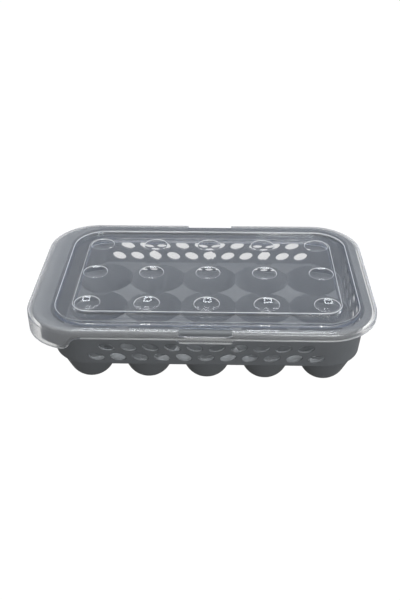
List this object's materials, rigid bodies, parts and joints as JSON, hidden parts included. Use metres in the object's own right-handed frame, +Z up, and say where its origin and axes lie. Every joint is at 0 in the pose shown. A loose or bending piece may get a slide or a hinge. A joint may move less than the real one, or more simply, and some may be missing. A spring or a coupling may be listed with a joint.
{
  "type": "lidded egg tray",
  "caption": "Vented plastic egg tray with rows of round-bottomed cups and a translucent press-on lid with stacking dimples, a gutter, finger slots and a deeper skirt at the grip end.",
  "frame": {"origin": "middle of the centre cup's foot, on the surface that the tray stands on", "axes": "+X along the five cells, away from the grip end; +Y across the three cells, towards the back; +Z up"},
  "size_m": [0.2622, 0.165, 0.064],
  "materials": {
    "grey_plastic": "opaque dark grey polypropylene, satin",
    "clear_plastic": "translucent natural polypropylene, smooth"
  },
  "bodies": {
    "tray": {"egg_tray": "grey_plastic"},
    "lid": {"snap_lid": "clear_plastic"}
  },
  "joints": [
    {"name": "lid_lift", "type": "slide", "parent": "tray", "child": "lid", "axis": [0, 0, 1], "range_m": [0, 0.06]}
  ]
}
